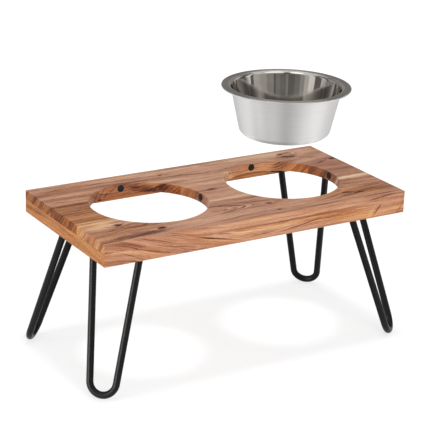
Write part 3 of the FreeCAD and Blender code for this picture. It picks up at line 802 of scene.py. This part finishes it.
def make_screws():
    """Pan-head wood screws with a cross recess, four to a leg."""
    head_radius, head_height = 2.9 * MM, 1.9 * MM
    shank_radius, length, taper, blunt = 1.45 * MM, 12 * MM, 3 * MM, 0.6 * MM
    recess = (3.1 * MM, 0.6 * MM, 2.2 * MM)
    # The screws of a pad stand on a circle, this far to either side of the leg's plane
    circle_radius = 8.4 * MM
    spread = math.radians(60)
    # From the driver's side of the head to the tip, the head's underside at height 0
    section = [(0, -head_height), (head_radius * 0.45, -head_height * 0.97)]
    section += [(head_radius * 0.75, -head_height * 0.84), (head_radius * 0.93, -head_height * 0.55)]
    section += [(head_radius, -head_height * 0.2), (head_radius, 0), (shank_radius, 0)]
    section += [(shank_radius, length - taper), (0, length - blunt)]
    pattern = turned("wood_screw", section, steps=28)
    for number in range(2):
        clear_selection()
        bpy.ops.mesh.primitive_cube_add(size=1, location=(0, 0, -head_height))
        blade = bpy.context.object
        blade.scale = recess
        settle(blade, blade.location.copy(), (0, 0, number * math.pi / 2))
        apply_modifier(pattern, "BOOLEAN", operation="DIFFERENCE", object=blade, solver="EXACT")
        bpy.data.objects.remove(blade)
    smooth(pattern, angle=35)
    zinc = blackened_zinc()
    for corner in CORNERS:
        screws = []
        for middle, along, outwards in pad_places(corner):
            for way in (-1, 1):
                spoke = along * math.cos(spread) + outwards * math.sin(spread) * way
                screw = copy_of(pattern, "leg_screw")
                # Each screw stopped at a turn of its own
                last_turn = math.radians(len(screws) * 37 + 12)
                settle(screw, middle + spoke * circle_radius, (0, 0, last_turn))
                screws.append(screw)
        four_screws = join_pieces(screws, corner + "_pan_head_screws")
        dress(four_screws, zinc, "stand", "screw_steel", corner + "_leg_screws")
    bpy.data.objects.remove(pattern)


def make_welds(coat):
    """A rippled fillet weld round the top of each rod, where it meets its pad."""
    ring_radius, bead, rings = 4.9 * MM, 1.1 * MM, 48
    # From the middle of the pad to the middle of the rod's top
    rod_along, rod_outwards, sunk = -5.5 * MM, 2.5 * MM, Vector((0, 0, -0.6 * MM))
    clear_selection()
    bpy.ops.mesh.primitive_torus_add(
        major_radius=ring_radius, minor_radius=bead, major_segments=rings, minor_segments=10
    )
    pattern = bpy.context.object
    pattern.scale = (1.06, 1, 0.9)
    settle(pattern)
    # Every fourth ring is drawn in, which leaves the ripples of the bead
    for vertex in pattern.data.vertices:
        vertex.select = round(math.atan2(vertex.co.y, vertex.co.x) / (math.tau / rings)) % 4 == 0
    bpy.ops.object.mode_set(mode="EDIT")
    bpy.ops.mesh.select_mode(type="VERT")
    bpy.ops.transform.resize(value=(0.965, 0.965, 0.8))
    bpy.ops.object.mode_set(mode="OBJECT")
    apply_modifier(pattern, "SUBSURF", levels=1, render_levels=1)
    smooth(pattern, angle=60)
    for corner in CORNERS:
        welds = []
        for middle, along, outwards in pad_places(corner):
            spot = middle + along * rod_along + outwards * rod_outwards + sunk
            weld = copy_of(pattern, "rod_weld")
            settle(weld, spot, (0, 0, math.atan2(outwards.y, outwards.x)))
            welds.append(weld)
        dress(join_pieces(welds, corner + "_rod_welds"), coat, "stand", "leg_steel")
    bpy.data.objects.remove(pattern)


# Camera, light and floor

# The middle of the cards, which stand round the bowl
CARDS_MIDDLE_X = 0.1


def aim(item, spot, target):
    """Stand a lamp or a card at a spot, looking at a target."""
    item.location = spot
    item.rotation_euler = (Vector(target) - Vector(spot)).to_track_quat("-Z", "Y").to_euler()


def make_camera():
    """The photograph's own viewpoint."""
    spot = (-1.0314, -1.6658, 0.8738)
    yaw, pitch, roll = 31.24, 19.80, 1.66
    camera = bpy.data.objects.new("camera", bpy.data.cameras.new("camera"))
    bpy.context.scene.collection.objects.link(camera)
    camera.location = spot
    forward = Euler((math.radians(90 - pitch), 0, -math.radians(yaw))).to_matrix()
    camera.rotation_euler = (forward @ Euler((0, 0, math.radians(roll))).to_matrix()).to_euler()
    camera.data.sensor_width = 36
    camera.data.lens = 134.1
    camera.data.shift_x = 0.0293
    camera.data.shift_y = 0.0021
    bpy.context.scene.camera = camera


def make_world():
    """A white backdrop, which lights the object less than it shows."""
    world = bpy.data.worlds.new("studio")
    bpy.context.scene.world = world
    studio = Shading(world)
    white = (1, 1, 1, 1)
    room = studio.node("Background", None, {"Color": white, "Strength": 0.55})
    backdrop = studio.node("Background", None, {"Color": white, "Strength": 1.0})
    studio.show(studio.node("MixShader", None, {0: studio.seen_directly(), 1: room, 2: backdrop}))


def make_floor():
    """A floor of white paper, which keeps the stand's shadow and fades into the backdrop."""
    clear_selection()
    bpy.ops.mesh.primitive_plane_add(size=40, location=(0, 0, -0.2 * MM))
    floor = bpy.context.object
    floor.name = "studio_floor"
    material = bpy.data.materials.new("white_floor")
    paper = Shading(material)
    lit = paper.node("BsdfDiffuse", None, {"Color": (0.9, 0.915, 0.93, 1)})
    glow = paper.node("Emission", None, {"Strength": 1.13})
    # The floor glows more, and takes less shadow, away from the object
    away = paper.node("VectorMath", {"operation": "LENGTH"}, {0: paper.spot()}, output="Value")
    share = paper.seen_directly() * paper.rise(away, 220, 750, 0.62, 0.97)
    paper.show(paper.node("MixShader", None, {0: share, 1: lit, 2: glow}))
    floor.data.materials.append(material)


def make_cards():
    """Grey and white cards stand round the set in three tiers, and only reflections see them."""
    distance = 3.2
    # The bottom and top of each tier, and from where to where, in degrees, how bright a card is
    tiers = {
        (0, 0.68): (
            (-142, -96, 0.35), (-96, -46, 1.0), (-46, -22, 0.05), (-22, 28, 1.0), (28, 50, 0.9),
            (50, 82, 0.2), (82, 140, 0.3), (140, 197, 0.33), (197, 218, 0.3),
        ),
        (0.68, 2.6): (
            (-163, -136, 0.5), (-136, -128, 0.1), (-128, -114, 0.85), (-114, -98, 0.2), (-98, -84, 1.15),
            (-84, -74, 0.72), (-74, -64, 0.42), (-64, -52, 0.27), (-52, -38, 0.2), (-38, -33, 0.36),
            (-33, -20, 0.24), (-20, -10, 0.31), (-10, -6, 0.18), (-6, 10, 0.41), (10, 26, 0.58),
            (26, 42, 0.66), (42, 50, 0.14), (50, 64, 1.2), (64, 84, 0.12), (84, 108, 0.7),
            (108, 130, 0.36), (130, 150, 0.3), (150, 178, 0.36), (178, 197, 0.34),
        ),
        (2.6, 4.6): ((-163, -110, 0.3), (-43, -25, 0.06), (64, 108, 0.3), (108, 197, 0.28)),
    }
    for (bottom, top), spans in tiers.items():
        for start, end, level in spans:
            width = 2 * distance * math.tan(math.radians(end - start) / 2)
            turn = math.radians(start + end) / 2
            middle = Vector((CARDS_MIDDLE_X, 0, (bottom + top) / 2))
            spot = middle + Vector((math.sin(turn), -math.cos(turn), 0)) * distance
            name = f"card_{bottom * 100:.0f}_{start + 180}"
            make_card(name, spot, middle, (width, top - bottom), level)
    # Two bright cards hang over the front with a dark gap between them
    distance_above, height_above, depth_above = 1.75, 4.7, 2.6
    for start, end, level in ((-95, -45, 2.6), (-45, -23, 0.06), (-23, 45, 2.2)):
        width = 2 * distance_above * math.tan(math.radians(end - start) / 2)
        turn = math.radians(start + end) / 2
        spot = Vector((math.sin(turn), -math.cos(turn), 0)) * distance_above
        spot += Vector((CARDS_MIDDLE_X, 0, height_above))
        below = spot - Vector((0, 0, 1))
        make_card(f"card_above_{start + 180}", spot, below, (width, depth_above), level, turn)


def make_card(name, spot, target, size, level, turn=None):
    """One glowing card that looks at a target, or lies flat at a turn of its own."""
    material = bpy.data.materials.new(name)
    warm = (level, level * 0.97, level * 0.94, 1)
    paper = Shading(material)
    paper.show(paper.node("Emission", None, {"Color": warm}))
    clear_selection()
    bpy.ops.mesh.primitive_plane_add(size=1)
    card = bpy.context.object
    card.name = name
    card.data.materials.append(material)
    card.scale = (*size, 1)
    aim(card, spot, target)
    if turn is not None:
        card.rotation_euler = (0, 0, turn)
    show_to_reflections(card)


def show_to_reflections(card):
    """Keep a card out of sight, light and shadow, so that only reflections see it."""
    card.visible_camera = False
    card.visible_diffuse = False
    card.visible_shadow = False


def make_floor_card():
    """A round card on the floor in soft bands, which the bowl's wall and the rods mirror."""
    clear_selection()
    middle = (CARDS_MIDDLE_X, 0, -0.1 * MM)
    bpy.ops.mesh.primitive_circle_add(vertices=96, radius=1.2, fill_type="NGON", location=middle)
    card = bpy.context.object
    card.name = "floor_card"
    glow = Finish("banded_floor_card", Roughness=1.0, Base_Color=(0, 0, 0, 1), Emission_Strength=1.0)
    x, y, _ = glow.place()
    turn = glow.node("Math", {"operation": "ARCTAN2"}, {0: x, 1: -y}) / math.tau + 0.5
    # How bright the card is at each angle round the bowl, in degrees
    bands = (
        (-180, 0.85), (-148, 1.32), (-122, 1.52), (-100, 1.6), (-82, 1.42), (-65, 1.38), (-48, 1.2),
        (-32, 0.88), (-16, 0.87), (1, 1.03), (18, 1.28), (34, 1.47), (54, 1.54), (74, 1.3), (98, 1.0),
        (140, 0.66), (180, 0.85),
    )
    stops = [((angle + 180) / 360, (level, level, level, 1)) for angle, level in bands]
    # Near the stand's own middle the card is dim: a painted shadow of the stand, for reflections to show
    east = x + CARDS_MIDDLE_X / MM
    away = (east * east + y * y) ** 0.5
    painted_stand_shadow = (0.25, 0.25, 0.25, 1)
    glow.feed(Emission_Color=glow.mix(glow.rise(away, 120, 300), painted_stand_shadow, glow.ramp(turn, stops)))
    card.data.materials.append(glow.material)
    show_to_reflections(card)


def make_lamp(name, spot, target, size, power):
    """A warm white softbox of a size in metres and a power in watts."""
    data = bpy.data.lights.new(name, "AREA")
    data.shape = "RECTANGLE"
    data.size, data.size_y = size
    data.energy = power
    data.color = (1, 0.98, 0.95)
    lamp = bpy.data.objects.new(name, data)
    bpy.context.scene.collection.objects.link(lamp)
    aim(lamp, spot, target)
    return lamp


def make_lamps():
    """Three softboxes that reflections don't see, and a strip light that makes the legs shine."""
    middle = (0, 0, 0.2)
    overhead = make_lamp("overhead_softbox", (0, 0, 3.4), middle, size=(0.45, 0.45), power=40)
    front = make_lamp("front_softbox", (-0.5, -2.4, 1.2), middle, size=(1.4, 1.4), power=31)
    left = make_lamp("left_softbox", (-2.6, 0.2, 1.3), middle, size=(0.6, 1.6), power=10)
    for lamp in (overhead, front, left):
        lamp.visible_glossy = False
    # The bowl's picture was taken apart from the stand's, so only the stand blocks the overhead lamp
    stand_only = bpy.data.collections.new("stand_only")
    for node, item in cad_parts.items():
        if node.endswith(("stave", "bridge", "end", "apron", "leg")):
            stand_only.objects.link(item)
    overhead.light_linking.blocker_collection = stand_only
    # The back left leg stays dark, as in the photograph
    shining_legs = bpy.data.collections.new("shining_legs")
    for corner in ("front_left", "front_right", "back_right"):
        shining_legs.objects.link(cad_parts[corner + "_hairpin_leg"])
    strip = make_lamp("leg_strip_light", (-2.5, -0.3, 0.35), (0, 0, 0.1), size=(0.5, 1.2), power=80)
    strip.light_linking.receiver_collection = shining_legs


bpy.context.scene.view_settings.view_transform = "Standard"
make_camera()
make_world()
make_floor()
make_cards()
make_floor_card()
make_lamps()

dress_tray()
coat = powder_coat()
for corner in CORNERS:
    finish_node(corner + "_hairpin_leg", coat)
    finish_node(corner + "_leg_pads", coat)
make_screws()
make_welds(coat)
make_bowl()
make_bumpers()
